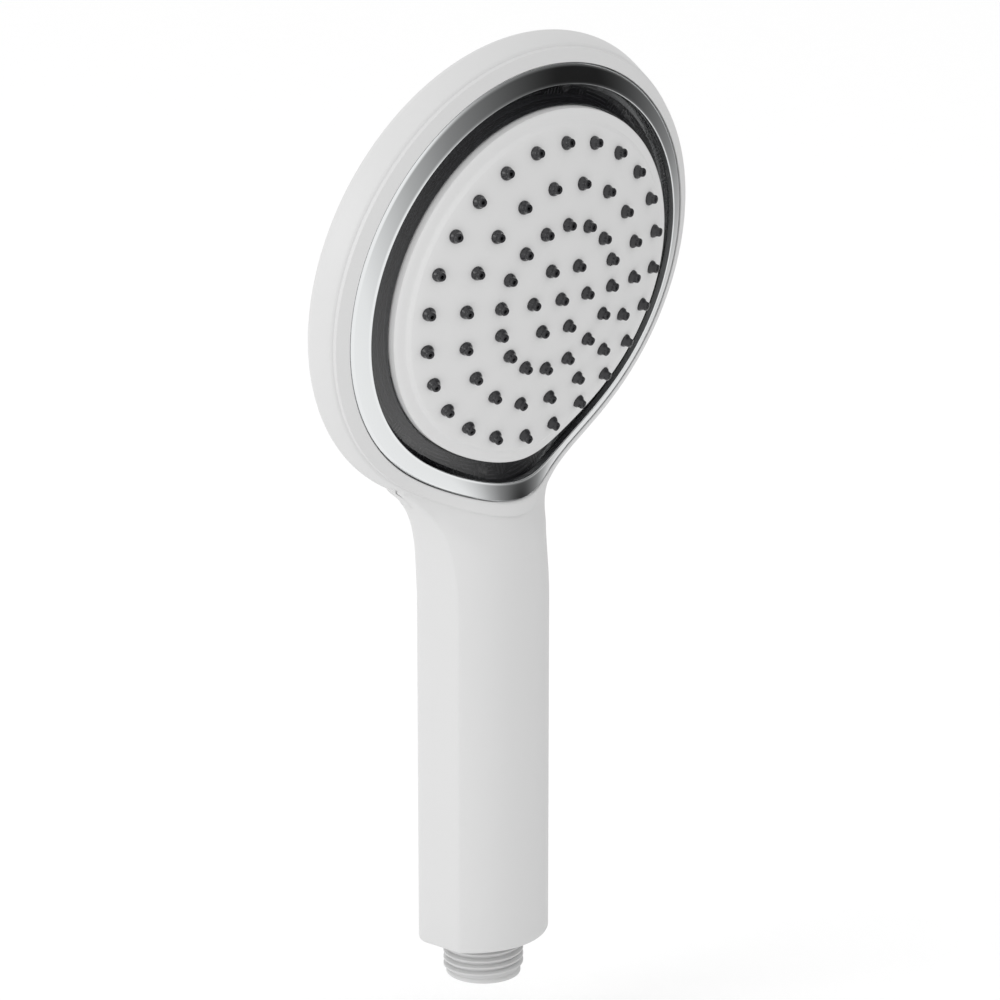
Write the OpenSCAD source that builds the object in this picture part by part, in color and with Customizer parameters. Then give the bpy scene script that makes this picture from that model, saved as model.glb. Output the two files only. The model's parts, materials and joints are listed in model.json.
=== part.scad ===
// Handheld shower head with a lit ring that is powered by its own water turbine.
// The origin is the centre of the inlet stub's end face, +Z runs up the handle and the
// spray face looks towards -Y. Parts of the head are drawn in the head's own frame: its
// z axis is the face's outward normal and its zero is the crown of the spray face, so a
// part that lies "d" behind the crown is at z = -d.

/* [Head] */
// Widest diameter of the head
head_d = 124; // [115:0.2:150]
// Radius of the sphere that the whole face follows
face_r = 121; // [105:1:160]
// Forward tilt of the face from the vertical
face_tilt = 12; // [6:0.5:15]
// Length of the side wall along the head's axis
side_l = 4.4; // [3.6:0.1:8]
// How far the side wall flares outwards
side_flare = 1.5; // [0.5:0.1:3]
// Roundness of the rear rim
rim_round = 3; // [2:0.5:5]
// Roundness of the face's outer edge
face_round = 1.8; // [0.6:0.1:2.5]
// How far the outer edge falls behind the face sphere
edge_drop = 1.5; // [1:0.1:2.5]
// Wall behind the mechanism
back_wall = 2.4; // [1.6:0.1:4]
// Width of the white band outside the bright ring
band_w = 4.1; // [3:0.1:8]

/* [Handle] */
// Length of the handle, up to the head's lower edge
handle_l = 117.2; // [100:0.2:150]
// Width of the grip across its front edges
grip_w = 32.4; // [29:0.2:44]
// Extra width of the grip across its rear edges
grip_spread = 2.6; // [0:0.1:5]
// Depth from the axis to the front edges
edge_front = 7.6; // [6:0.1:11]
// Depth from the axis to the crown of the front face
crown_front = 15.6; // [14:0.1:22]
// Depth from the axis back to the rear edges
edge_rear = 5.5; // [3:0.1:9]
// Length over which the handle's front runs back to the head
neck_l = 32.5; // [24:0.5:40]
// How far the neck runs up past the head's lower edge
neck_rise = 4.8; // [3:0.1:8]
// Radius of the sweep between the grip and the head
neck_r = 21; // [16:0.5:26]
// Most that the sweep widens the neck on each side
neck_spread = 11; // [8:0.5:13]
// Depth of the neck's front edges where they meet the face, ahead of the head's lower edge
edge_meet = 2.3; // [0:0.1:4]
// Depth of the neck's crown there
crown_meet = 4.6; // [2:0.1:6]
// How far the head's lower edge sits behind the handle's axis
head_set = 2.3; // [0:0.1:5]
// Bore of the handle
handle_bore = 23.2; // [19:0.1:24]
// Plastic left behind the water tube in the neck
neck_wall = 2.9; // [2:0.1:6]

/* [Inlet] */
// Outside diameter of the G1/2 hose thread
thread_d = 20.955; // [20.955, 26.441]
// Pitch of the hose thread
thread_pitch = 1.814; // [1.814, 2.309]
// Depth of the hose thread
thread_depth = 1.162; // [0.8:0.001:1.3]
// Length of the stub below the handle
stub_l = 12.5; // [9:0.1:18]
// Bore of the stub that takes the hose end
stub_bore = 15.8; // [11:0.1:16]
// Depth of the stub's bore
stub_bore_l = 8; // [5:0.1:9]
// Outside diameter of the water tube
tube_d = 8.4; // [7:0.1:10.2]
// Wall of the water tube
tube_wall = 1; // [0.6:0.1:1.6]

/* [Bright ring and lens] */
// Width of the bright ring
trim_w = 4.7; // [3:0.1:7]
// Depth of the bright ring below the face sphere
trim_sink = 0.4; // [0:0.1:1.2]
// Width of the smoked ring that shows
lens_w = 4.9; // [3.5:0.1:6]
// Depth of the smoked ring below the face sphere
lens_sink = 2.3; // [1.6:0.1:4]
// Thickness of the smoked ring
lens_t = 1.5; // [1:0.1:2.5]

/* [Spray plate] */
// Width of the plate's plain border
border_w = 3.2; // [2:0.1:6]
// Depth of the border below the dome
border_step = 0.6; // [0.2:0.1:1.2]
// Thickness of the plate's border
plate_t = 2; // [1.4:0.1:3]
// Thickness of the rubber mat
mat_t = 1.2; // [0.8:0.1:2]
// Diameter of a nozzle's collar
nozzle_d = 3.4; // [2.4:0.1:4.2]
// Diameter of a nozzle's tip
tip_d = 2.4; // [1.8:0.1:2.4]
// Height of a nozzle above the plate
nozzle_h = 2.1; // [1:0.1:3.5]
// Bore of a nozzle
jet_d = 0.9; // [0.6:0.1:1.4]
// Radius of the innermost ring of nozzles
first_ring = 9.25; // [7:0.25:12]

/* [Lights] */
// Number of lights round the ring
led_count = 12; // [6, 12]
// Angle of the first light
led_phase = 22; // [0:1:59]
// Diameter of a light's dome
led_d = 2.8; // [2:0.1:3.4]
// Thickness of the lights' circuit board
board_t = 0.9; // [0.6:0.1:1.6]

/* [Turbine] */
// Diameter of the impeller
wheel_d = 24.4; // [20:0.2:30]
// Number of impeller blades
blade_count = 10; // [6:1:14]
// Diameter of the fixed steel axle
axle_d = 2; // [1.6:0.1:3]
// Diameter of the ring magnet
magnet_d = 13.8; // [11:0.1:16]
// Length of the ring magnet
magnet_l = 7.4; // [5:0.1:9]
// Number of water jets round the impeller
jet_count = 6; // [3:1:8]

/* [Hidden] */
$fn = 96;
eps = 0.01;

// Clearances
slide_gap = 0.1;        // parts pushed into a bore
drop_gap = 0.25;        // rings laid in the face, where the gap shows as a fine line
run_gap = 0.05;         // running clearance of the bushes on the axle, on the radius
spin_gap = 0.6;         // free space round the turning wheel and magnet
free_gap = 0.8;         // space between parts that only pass each other
nozzle_gap = 0.15;      // round each nozzle in its hole
screw_count = 6;

// Face rings, from the outside in
head_r = head_d / 2;
edge_r = head_r - side_flare;
bowl_r = edge_r - band_w;
trim_r = bowl_r - drop_gap;
lens_show_r = trim_r - trim_w;
plate_r = lens_show_r - lens_w - 0.4;
dome_r = plate_r - border_w;

// Depth of the face sphere, or one inside it, at a radius
function face_depth(r, inset = 0) = face_r - sqrt(pow(face_r - inset, 2) - r * r);

edge_d = face_depth(edge_r) + edge_drop;
rim_d = edge_d + side_l;

// Direction helpers for the tilted head
tilt_c = cos(face_tilt);
tilt_s = sin(face_tilt);
handle_z = stub_l;
crown_y = head_set - edge_r * tilt_s - edge_d * tilt_c;
crown_z = handle_z + handle_l + edge_r * tilt_c - edge_d * tilt_s;
// Point of the Y-Z plane that lies d behind the crown and up the face by u
function head_yz(d, u) = [crown_y + d * tilt_c - u * tilt_s, crown_z + d * tilt_s + u * tilt_c];

// Layers behind the face
plate_inset = border_step + plate_t;
mat_inset = plate_inset + mat_t;
skirt_t = 0.6;
mat_r = plate_r - skirt_t - 0.2;
chamber_r = mat_r - 2.2;
disc_d = face_depth(mat_r, mat_inset) + 0.3;
disc_t = 2;
disc_rear = disc_d + disc_t;
lens_r = lens_show_r + 1.8;
lens_in_r = plate_r + 0.2;
lens_under = lens_sink + lens_t;
seal_w = 1;
ledge_r = lens_in_r + seal_w + 0.1;
ledge_d = face_depth(ledge_r) + lens_under + 0.9;
board_top = face_depth(lens_r) + lens_under + 0.25;
flange_d = board_top + board_t;
flange_t = 1.7;
flange_rear = flange_d + flange_t;
board_in = ledge_r + 0.2;
board_r = lens_r + 0.2;
led_r = (board_in + lens_show_r) / 2;
trim_wall = 2.1;
screw_r = trim_r - trim_wall - 2;
screw_d = 2.2;
screw_head = 3.5;
screw_grip = 5.5;
// The screws stand midway between lights, on the set of places that leaves the pipe's way out free
screw_try = led_phase + 15;
screw_phase = screw_try + (abs((screw_try + 120) % 60 - 30) < 15 ? 30 : 0);

// Generator stack
tube_r = tube_d / 2;
tube_in = tube_r - tube_wall;
pipe_d = flange_rear + free_gap + tube_r;
cup_rear = pipe_d + tube_in + 0.4;
cup_wall = 1.5;
wheel_r = wheel_d / 2;
ring_in = wheel_r + spin_gap;
ring_t = 1.8;
cup_in = ring_in + ring_t + 2.9;
cup_out = cup_in + 1.8;
lug_r = cup_out + 3.6;
cup_flange_r = lug_r + 2.1;
cup_flange_t = 2;
cup_seal_r = cup_out + 0.6;
magnet_r = magnet_d / 2;
well_in = magnet_r + 0.5;
well_wall = 1;
well_out = well_in + well_wall;
axle_r = axle_d / 2;
magnet_front = cup_rear + 1;
well_end = magnet_front + magnet_l + spin_gap;
axle_seat = 1.2;
cap_rear = well_end + axle_seat + 0.8;
back_inner = cap_rear + 0.8;
head_depth = back_inner + back_wall;

// Back of the head: a sphere that runs smoothly into the rounded rim
rim_c = head_r - rim_round;
bulge = head_depth - rim_d;
back_r = (rim_c * rim_c + bulge * bulge - rim_round * rim_round) / (2 * (bulge - rim_round));
back_c = head_depth - back_r;
function back_depth(r, wall = 0) = back_c + sqrt(pow(back_r - wall, 2) - r * r);

// Water tube through the handle and the neck
tube_back = head_yz(pipe_d, -(bowl_r - 2))[0];
tube_gap = 0.9;
handle_back = tube_back + tube_r + tube_gap + neck_wall;
pass_gap = 1.4;         // round the tube in its passage through the neck
pass_shift = 0.6;       // the passage's middle lies this far forward of the tube's
pass_lap = 6;           // the passage starts this far down in the handle's bore
pass_over = tube_d - 2; // and ends this far above the tube's bend
neck_pass_r = tube_r + pass_gap;
socket_l = 10;
seal_t = 0.75;          // section radius of the rings on the water tube
seal_in = 2.5;          // from a socket's mouth to its ring
socket_wall = 0.9;      // outside the ring's groove
socket_lap = 1.5;       // the socket's outside starts this far before its seat
tube_start = stub_l + 12.5;
plug_l = 22;
plug_r = handle_bore / 2 - slide_gap;
bore_top = handle_z + handle_l - 30;
pipe_end = chamber_r - 2 * free_gap;
bend_r = 40;
bend_pt = [tube_back, head_yz(pipe_d, 0)[1] - (tube_back - head_yz(pipe_d, 0)[0]) / tilt_s * tilt_c];
tube_route = [
    [0, tube_start],
    [0, tube_start + 8],
    [tube_back, handle_z + handle_l - 11],
    bend_pt,
    head_yz(pipe_d, -(pipe_end - socket_l + 1))
];

// Colours
white = [0.93, 0.93, 0.93];
chrome = [0.75, 0.77, 0.8];
smoke = [0.12, 0.12, 0.14];
rubber = [0.2, 0.2, 0.22];
steel = [0.6, 0.62, 0.65];
copper = [0.8, 0.45, 0.2];
board_green = [0.1, 0.3, 0.2];
grey = [0.5, 0.52, 0.55];

// ---- helpers ----

// Puts its children into the head's own frame
module on_head() {
    translate([0, crown_y, crown_z]) rotate([90 + face_tilt, 0, 0]) children();
}

// A disc or ring between two depths behind the crown
module disc(r, from, to, hole = 0) {
    translate([0, 0, -to]) difference() {
        cylinder(r = r, h = to - from);
        if (hole > 0) translate([0, 0, -1]) cylinder(r = hole, h = to - from + 2);
    }
}

// A ball that the face follows, or one inside it
module face_ball(inset = 0) {
    translate([0, 0, -face_r]) sphere(r = face_r - inset, $fn = 240);
}

// A ring of round section
module o_ring(r, section) {
    rotate_extrude() translate([r, 0]) circle(r = section, $fn = 32);
}

// Places children n times round the head's axis
module around(n, r, phase = 0) {
    for (i = [0:n - 1]) rotate(phase + i * 360 / n) translate([r, 0, 0]) children();
}

// Turns +Z onto a direction
module aim(v) {
    rotate([0, acos(v[2] / norm(v)), atan2(v[1], v[0])]) children();
}

// A wire of round section through a list of points, with rounded corners
module wire(points, r) {
    for (i = [0:len(points) - 2]) {
        step = points[i + 1] - points[i];
        translate(points[i]) aim(step) cylinder(r = r, h = norm(step), $fn = 24);
        if (i > 0) translate(points[i]) sphere(r = r * 1.1, $fn = 24);
    }
}

// A self-tapping screw with a pan head, its head's underside at z = 0
module screw(length, head = screw_head, thread = screw_d) {
    difference() {
        cylinder(r = head / 2, h = 1);
        for (a = [0, 90]) rotate(a) translate([-0.9, -0.2, 0.5]) cube([1.8, 0.4, 1]);
    }
    translate([0, 0, -length]) cylinder(r = thread / 2, h = length + eps);
}

// Bent run of round bar in the Y-Z plane. Its bends are a hair thicker and lap the straights.
bend_lap = 0.4;
bend_swell = 0.05;
function turn_at(p, i) = let (a = p[i] - p[i - 1], b = p[i + 1] - p[i])
    atan2(b[1], b[0]) - atan2(a[1], a[0]);
function trim_at(p, i) = i == 0 || i == len(p) - 1 ? 0 : bend_r * tan(abs(turn_at(p, i)) / 2);
module bent_bar(p, r, over = 0) {
    for (i = [0:len(p) - 2]) {
        v = p[i + 1] - p[i];
        u = v / norm(v);
        from = p[i] + u * (trim_at(p, i) - (i == 0 ? over : 0));
        to = p[i + 1] - u * (trim_at(p, i + 1) - (i == len(p) - 2 ? over : 0));
        translate([0, from[0], from[1]]) rotate([atan2(v[1], v[0]) - 90, 0, 0])
            cylinder(r = r, h = norm(to - from));
        if (i > 0) {
            turn = turn_at(p, i);
            heading = atan2(p[i][1] - p[i - 1][1], p[i][0] - p[i - 1][0]);
            w = p[i] - p[i - 1];
            start = p[i] - w / norm(w) * trim_at(p, i);
            side = turn > 0 ? 1 : -1;
            translate([0, start[0], start[1]]) rotate([heading, 0, 0])
                translate([0, 0, side * bend_r]) rotate([0, side * 90, 0]) rotate(-bend_lap)
                    rotate_extrude(angle = abs(turn) + 2 * bend_lap)
                        translate([bend_r, 0]) circle(r = r + bend_swell, $fn = 96);
        }
    }
}

// ---- housing ----

function arc(c, r, from, to, n) = [for (i = [0:n]) let (a = from + (to - from) * i / n)
    [c[0] + r * cos(a), c[1] + r * sin(a)]];

// Outline of the head, as radius and height over the crown's plane
module head_profile() {
    side_a = atan2(side_flare, side_l);
    round_r = face_round;
    front_c = [edge_r - round_r * cos(side_a) - 0.05, -edge_d + 0.1];
    rear_a = asin((back_c - rim_d) / (back_r - rim_round));
    polygon(concat(
        [[0, -face_depth(bowl_r)]],
        [for (i = [0:3]) let (r = bowl_r + (edge_r - round_r - bowl_r) * i / 3) [r, -face_depth(r)]],
        arc(front_c, round_r, 58, side_a, 5),
        arc([rim_c, -rim_d], rim_round, 0, rear_a, 8),
        [for (i = [1:12]) let (a = rear_a + (-90 - rear_a) * i / 12)
            [i == 12 ? 0 : back_r * cos(a), -back_c + back_r * sin(a)]]
    ));
}

// Handle sections. t runs from 0 where the neck begins to 1 at the head's lower edge.
neck_top = handle_z + handle_l + neck_rise;
function neck_t(z) = min(1, max(0, (z - (neck_top - neck_l)) / neck_l));
sweep_l = neck_r * 0.93;
function sweep(z) = let (h = min(sweep_l, max(0, z - (neck_top - sweep_l))))
    neck_r - sqrt(neck_r * neck_r - h * h);
function half_front(z) = grip_w / 2 + min(neck_spread, sweep(z));
function half_rear(z) = half_front(z) + grip_spread / 2 * (1 - neck_t(z));
function depth_edge(z) = edge_front - (edge_front + head_set - edge_meet) * pow(neck_t(z), 2);
function depth_crown(z) = crown_front - (crown_front + head_set - crown_meet) * pow(neck_t(z), 2);
// Points of a shallow arc from (-w, y0) to (w, y0) through (0, y1)
function bow(w, y0, y1, n, dir) = let (s = y1 - y0, r = (w * w + s * s) / (2 * s), a = asin(w / r))
    [for (i = [0:n]) let (t = dir * a * (1 - 2 * i / n)) [r * sin(t), y1 - r + r * cos(t)]];
arc_n = 14;
function section(z) = [for (q = concat(
        bow(half_front(z), depth_edge(z), depth_crown(z), arc_n, -1),
        bow(half_rear(z), edge_rear, handle_back, arc_n, 1) * [[1, 0], [0, -1]]))
    [q[0], -q[1], z]];
levels = concat([handle_z, neck_top - neck_l - 30],
    [for (i = [0:16]) neck_top - neck_l * (1 - i / 16)],
    [neck_top + 6, neck_top + 14, neck_top + 24]);
module handle_loft() {
    n = 2 * (arc_n + 1);
    m = len(levels);
    points = [for (z = levels) each section(z)];
    faces = concat(
        [[for (i = [0:n - 1]) i]],
        [for (k = [0:m - 2]) for (i = [0:n - 1]) let (j = (i + 1) % n)
            each [[k * n + i, (k + 1) * n + i, k * n + j], [k * n + j, (k + 1) * n + i, (k + 1) * n + j]]],
        [[for (i = [n - 1:-1:0]) (m - 1) * n + i]]);
    polyhedron(points, faces, convexity = 6);
}

boss_r = 3.2;
module housing() {
    color(white) {
        difference() {
            union() {
                on_head() rotate_extrude($fn = 180) head_profile();
                handle_loft();
            }
            on_head() intersection() {
                translate([0, 0, -face_r]) cylinder(r = bowl_r, h = 2 * face_r);
                translate([0, 0, -back_c]) sphere(r = back_r - back_wall, $fn = 240);
            }
            translate([0, 0, handle_z - 1]) cylinder(r = handle_bore / 2, h = bore_top - handle_z + 1);
            translate([0, tube_back - pass_shift, bore_top - pass_lap])
                cylinder(r = neck_pass_r, h = bend_pt[1] + pass_over - bore_top + pass_lap);
        }
        on_head() around(screw_count, screw_r, screw_phase) difference() {
            disc(boss_r, flange_rear, back_depth(screw_r, back_wall) + 1);
            disc(screw_d / 2, flange_rear - 1, flange_rear + screw_grip + 0.5);
        }
    }
}

// ---- face rings ----

module chrome_ring() {
    color(chrome) on_head() rotate_extrude($fn = 180) polygon(concat(
        [for (i = [0:5]) let (r = lens_show_r + (trim_r - 0.3 - lens_show_r) * i / 5)
            [r, -face_depth(r) - trim_sink]],
        [[trim_r, -face_depth(trim_r) - trim_sink - 0.3], [trim_r, -flange_d]],
        [[trim_r - trim_wall, -flange_d]],
        [[trim_r - trim_wall, -face_depth(lens_r) - lens_sink - lens_t]],
        [[lens_r + slide_gap, -face_depth(lens_r) - lens_sink - lens_t]],
        [[lens_r + slide_gap, -face_depth(lens_r) - lens_sink + 0.15]],
        [[lens_show_r, -face_depth(lens_show_r) - lens_sink + 0.1]]
    ));
}

module lens_ring() {
    color(smoke, 0.7) on_head() intersection() {
        disc(lens_r, 0, flange_d, lens_in_r);
        difference() {
            face_ball_sunk(lens_sink);
            face_ball_sunk(lens_under);
        }
    }
}
// A ball of the face's own radius, set back from the face
module face_ball_sunk(sink) {
    translate([0, 0, -sink]) face_ball();
}

module lens_seal() {
    top = face_depth(ledge_r) + lens_under;
    color(rubber) on_head() disc(lens_in_r + seal_w, top, ledge_d, lens_in_r + 0.1);
}

// Angles and radii of the nozzles: each ring starts on the head's x axis
ring_counts = [6, 16, 18, 24];
last_ring = dome_r - 4.3;
ring_step = (last_ring - first_ring) / (len(ring_counts) - 1);
spots = concat([[0, 0]], [for (k = [0:len(ring_counts) - 1]) for (i = [0:ring_counts[k] - 1])
    [first_ring + k * ring_step, i * 360 / ring_counts[k]]]);
module at_nozzles() {
    for (s = spots) rotate(s[1]) translate([0, 0, -face_r]) rotate([0, asin(s[0] / face_r), 0])
        translate([0, 0, face_r]) children();
}

module spray_plate() {
    color(white) on_head() {
        difference() {
            intersection() {
                union() {
                    intersection() {
                        face_ball(0);
                        disc(dome_r, -1, disc_d);
                    }
                    intersection() {
                        face_ball(border_step);
                        disc(plate_r, -1, disc_d + 2);
                    }
                }
                disc(plate_r, -1, disc_d + 2);
            }
            intersection() {
                face_ball(plate_inset);
                disc(plate_r - skirt_t, -1, disc_d + 3);
            }
            at_nozzles() translate([0, 0, -plate_inset - 2])
                cylinder(r = nozzle_d / 2 + nozzle_gap, h = plate_inset + 4, $fn = 32);
            translate([0, 0, -face_r * 2]) cylinder(r = plate_r + 1, h = face_r * 2 - disc_d - 0.6);
        }
    }
}

module nozzle() {
    collar = nozzle_h * 0.4;
    cylinder(r = nozzle_d / 2, h = plate_inset + 0.3 + collar, $fn = 32);
    translate([0, 0, plate_inset + 0.3 + collar - eps])
        cylinder(r = tip_d / 2, h = nozzle_h - collar - 0.3, $fn = 32);
    translate([0, 0, plate_inset + nozzle_h - 0.01])
        cylinder(r1 = tip_d / 2, r2 = tip_d / 2 - 0.3, h = 0.3, $fn = 32);
}

module nozzle_mat() {
    color(rubber) on_head() difference() {
        union() {
            difference() {
                intersection() {
                    face_ball(plate_inset);
                    disc(mat_r, -1, disc_d + 2);
                }
                face_ball(mat_inset);
            }
            at_nozzles() translate([0, 0, -plate_inset - 0.3]) nozzle();
        }
        at_nozzles() translate([0, 0, -mat_inset - 2])
            cylinder(r = jet_d / 2, h = mat_inset + nozzle_h + 4, $fn = 24);
    }
}

// ---- water chamber ----

outlet_r = 1.7;
outlet_ring = wheel_r * 0.62;
probe_r = 1.2;
probe_rim = 1;
probe_at = (cup_flange_r + probe_r + probe_rim + free_gap) * [cos(20), sin(20)];
wire_hole = 2.4;
pillar_x = 10;
pillar_y = 40;
driver_d = disc_rear + 7;
module distributor() {
    color(grey) on_head() difference() {
        union() {
            disc(mat_r, disc_d, disc_rear);
            intersection() {
                disc(mat_r, 0, disc_rear, chamber_r);
                face_ball(mat_inset);
            }
            disc(mat_r, disc_d, flange_rear, chamber_r);
            disc(ledge_r, ledge_d, flange_rear, chamber_r);
            disc(trim_r, flange_d, flange_rear, chamber_r);
            disc(axle_r + 2.2, disc_d - 1, disc_rear + 0.6);
            for (x = [-pillar_x, pillar_x]) translate([x, pillar_y]) disc(2, disc_rear - eps, driver_d);
            around(4, lug_r, 45) disc(2.1, disc_d - 3, disc_rear);
        }
        around(8, outlet_ring) disc(outlet_r, disc_d - 1, disc_rear + 1);
        disc(axle_r, disc_d, disc_rear + 1);
        around(4, lug_r, 45) disc(0.9, disc_d - 2, disc_rear + 1);
        around(screw_count, screw_r, screw_phase) disc(screw_d / 2 + 0.15, flange_d - 1, flange_rear + 1);
        translate([0, board_in + 2.5]) disc(wire_hole, flange_d - 1, flange_rear + 1);
        translate(probe_at) disc(probe_r, disc_d - 1, disc_rear + 1);
        for (x = [-pillar_x, pillar_x]) translate([x, pillar_y]) disc(0.8, driver_d - 4.2, driver_d + 1);
        disc(trim_r + 1, flange_d + 0.5, flange_d + 1.3, trim_r - 1);
    }
}

module rim_seal() {
    color(rubber) on_head() disc(bowl_r, flange_d + 0.5 + 0.02, flange_d + 1.3 - 0.02, trim_r - 0.9);
}

// ---- lights ----

module led_board() {
    color(board_green) on_head() difference() {
        disc(board_r, board_top, flange_d, board_in);
        around(screw_count, screw_r, screw_phase) disc(screw_head / 2 + 0.2, board_top - 1, flange_d + 1);
    }
}

led_h = 1.5;
module leds() {
    color("white") on_head() around(led_count, led_r, led_phase) translate([0, 0, -board_top]) {
        cylinder(r = led_d / 2, h = led_h - 0.8);
        translate([0, 0, led_h - 0.8]) intersection() {
            translate([0, 0, -0.1]) cylinder(r = led_d / 2, h = 2);
            translate([0, 0, 0.8 - led_d * 0.75]) sphere(r = led_d * 0.75, $fn = 48);
        }
    }
}

module led_resistors() {
    color("black") on_head() around(led_count, led_r - 0.3, led_phase + 9)
        translate([-1.1, -0.6, -board_top]) cube([2.2, 1.2, 0.5]);
}

// ---- turbine and generator ----

module turbine_case() {
    color(grey) on_head() difference() {
        union() {
            disc(cup_out, disc_rear, cup_rear + cup_wall);
            disc(cup_flange_r, disc_rear, disc_rear + cup_flange_t);
            disc(well_out, cup_rear, cap_rear);
            translate([0, 0, -pipe_d]) rotate([90, 0, 0]) {
                cylinder(r = tube_r, h = pipe_end - socket_l);
                translate([0, 0, pipe_end - socket_l - socket_lap])
                    cylinder(r = tube_r + 2 * seal_t + socket_wall, h = socket_l + socket_lap);
            }
        }
        disc(cup_in, disc_rear - 1, cup_rear);
        disc(well_in, cup_rear - 1, well_end);
        disc(axle_r, well_end - 1, well_end + axle_seat);
        around(4, lug_r, 45) disc(0.95 + 0.15, disc_rear - 1, disc_rear + cup_flange_t + 1);
        disc(cup_seal_r + 0.9, disc_rear - 1, disc_rear + 0.9, cup_seal_r);
        translate([0, 0, -pipe_d]) rotate([90, 0, 0]) {
            cylinder(r = tube_in, h = pipe_end);
            translate([0, 0, pipe_end - socket_l]) cylinder(r = tube_r + slide_gap, h = socket_l + 1);
            translate([0, 0, pipe_end - seal_in - seal_t]) cylinder(r = tube_r + 2 * seal_t, h = 2 * seal_t);
        }
    }
}

module turbine_seal() {
    color(rubber) on_head() disc(cup_seal_r + 0.85, disc_rear, disc_rear + 0.88, cup_seal_r + 0.05);
}

module jet_ring() {
    color(grey) on_head() difference() {
        disc(ring_in + ring_t, disc_rear, cup_rear, ring_in);
        around(jet_count, 0, 90 / jet_count) translate([ring_in - 0.2, 0, -cup_rear + 2.5])
            rotate(-35) translate([-2, -1, 0]) cube([9, 2, cup_rear - disc_rear - 5]);
    }
}

module axle() {
    color(steel) on_head() disc(axle_r, disc_d, well_end + axle_seat);
}

hub_r = 4.6;
stem_r = 3.4;
wheel_front = disc_rear + 1.2;
wheel_rear = cup_rear - 0.8;
bush_r = axle_r + run_gap + 1;
bush_l = 3.2;
module blade() {
    bow_r = wheel_r * 0.7;
    from = wheel_front + 0.4;
    to = wheel_rear - 0.5;
    intersection() {
        disc(wheel_r, from, to, hub_r - 0.6);
        translate([wheel_r * 0.55, -bow_r + 0.6, 0]) disc(bow_r, from - 1, to + 1, bow_r - 1);
        translate([0, -1.5, -cup_rear]) cube([wheel_r + 1, 12, cup_rear]);
    }
}
module impeller() {
    color("ivory") on_head() difference() {
        union() {
            disc(hub_r, wheel_front, wheel_rear);
            disc(wheel_r - 0.3, wheel_rear - 1, wheel_rear);
            around(blade_count, 0) blade();
            disc(stem_r, wheel_rear - eps, magnet_front + magnet_l);
            disc(stem_r + 1.5, wheel_rear - eps, magnet_front);
        }
        disc(axle_r + 0.3, 0, head_depth);
        disc(bush_r, wheel_front - 1, wheel_front + bush_l);
        disc(bush_r, magnet_front + magnet_l - bush_l, magnet_front + magnet_l + 1);
    }
}

module rotor_magnet() {
    color([0.25, 0.25, 0.27]) on_head() disc(magnet_r, magnet_front, magnet_front + magnet_l, stem_r);
}

module rotor_bushes() {
    color("orange") on_head() {
        disc(bush_r, wheel_front, wheel_front + bush_l, axle_r + run_gap);
        disc(bush_r, magnet_front + magnet_l - bush_l, magnet_front + magnet_l, axle_r + run_gap);
    }
}

core_in = well_out + 0.1;
core_out = magnet_r + 9;
core_front = cup_rear + cup_wall + 0.1;
core_l = magnet_l + 0.4;
pole_count = 6;
module stator_core() {
    color(steel) on_head() {
        difference() {
            disc(core_out, core_front, core_front + core_l, core_in);
            disc(core_out - 1, core_front + 1, core_front + core_l - 1, core_in - 1);
        }
        around(pole_count, 0, 0) translate([core_in + 0.1, -1.5, -core_front - core_l + 0.5])
            cube([0.9, 3, core_l - 1.4]);
    }
}

module stator_coil() {
    color(copper) on_head()
        disc(core_out - 1.4, core_front + 1.3, core_front + core_l - 1.3, core_in + 1.3);
}

// ---- light driver ----

module driver_board() {
    color(board_green) on_head() difference() {
        translate([-pillar_x - 4, pillar_y - 10, -driver_d - 1]) cube([2 * pillar_x + 8, 14, 1]);
        for (x = [-pillar_x, pillar_x]) translate([x, pillar_y]) disc(1, driver_d - 1, driver_d + 2);
    }
}

module driver_chips() {
    color("black") on_head() translate([0, pillar_y, -driver_d - 1]) {
        translate([-3, -2, -1.2]) cube([6, 5, 1.2]);
        for (x = [-11, 8]) translate([x, -8.5, -0.9]) cube([3, 2, 0.9]);
        translate([-7.5, -1, -0.7]) cube([2, 1.2, 0.7]);
    }
}

module capacitor() {
    color("dimgray") on_head() translate([-5.5, pillar_y - 6.5, -driver_d - 1 - 2.6]) rotate([0, 90, 0])
        cylinder(r = 2.5, h = 11);
}

wire_r = 0.5;
module coil_wires() {
    start = core_front + core_l / 2;
    color("crimson") on_head() for (x = [-2, 2]) wire([
        [x, sqrt(core_out * core_out - x * x) + wire_r, -start],
        [x, core_out + 5, -start],
        [x * 5, pillar_y - 8.5, -driver_d - 3],
        [x * 5.5, pillar_y - 4, -driver_d - 1 - wire_r]
    ], wire_r);
}

module led_wires() {
    y = board_in + 2.5;
    color("crimson") on_head() for (x = [-1, 1]) wire([
        [x * 5, pillar_y + 2.5, -driver_d - 1 - wire_r],
        [x, y, -driver_d - 2],
        [x, y, -flange_d]
    ], wire_r);
}

module temp_probe() {
    color("tan") on_head() translate(probe_at) {
        disc(probe_r, disc_d - 2.5, disc_rear + 1);
        disc(probe_r + probe_rim, disc_rear, disc_rear + 1);
    }
}

module probe_wires() {
    color("black") on_head() for (x = [-1, 1]) wire([
        [probe_at[0] + x * 0.6, probe_at[1], -disc_rear - 1],
        [probe_at[0] + x * 0.6, probe_at[1], -disc_rear - 4],
        [pillar_x + 3.2, pillar_y - 7 + x, -driver_d - 2.5],
        [pillar_x + 3, pillar_y - 7 + x, -driver_d - 1 - wire_r]
    ], wire_r);
}

// ---- water way in the handle ----

module water_tube() {
    color("lightgray") difference() {
        bent_bar(tube_route, tube_r);
        bent_bar(tube_route, tube_in, 1);
    }
}

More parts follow.
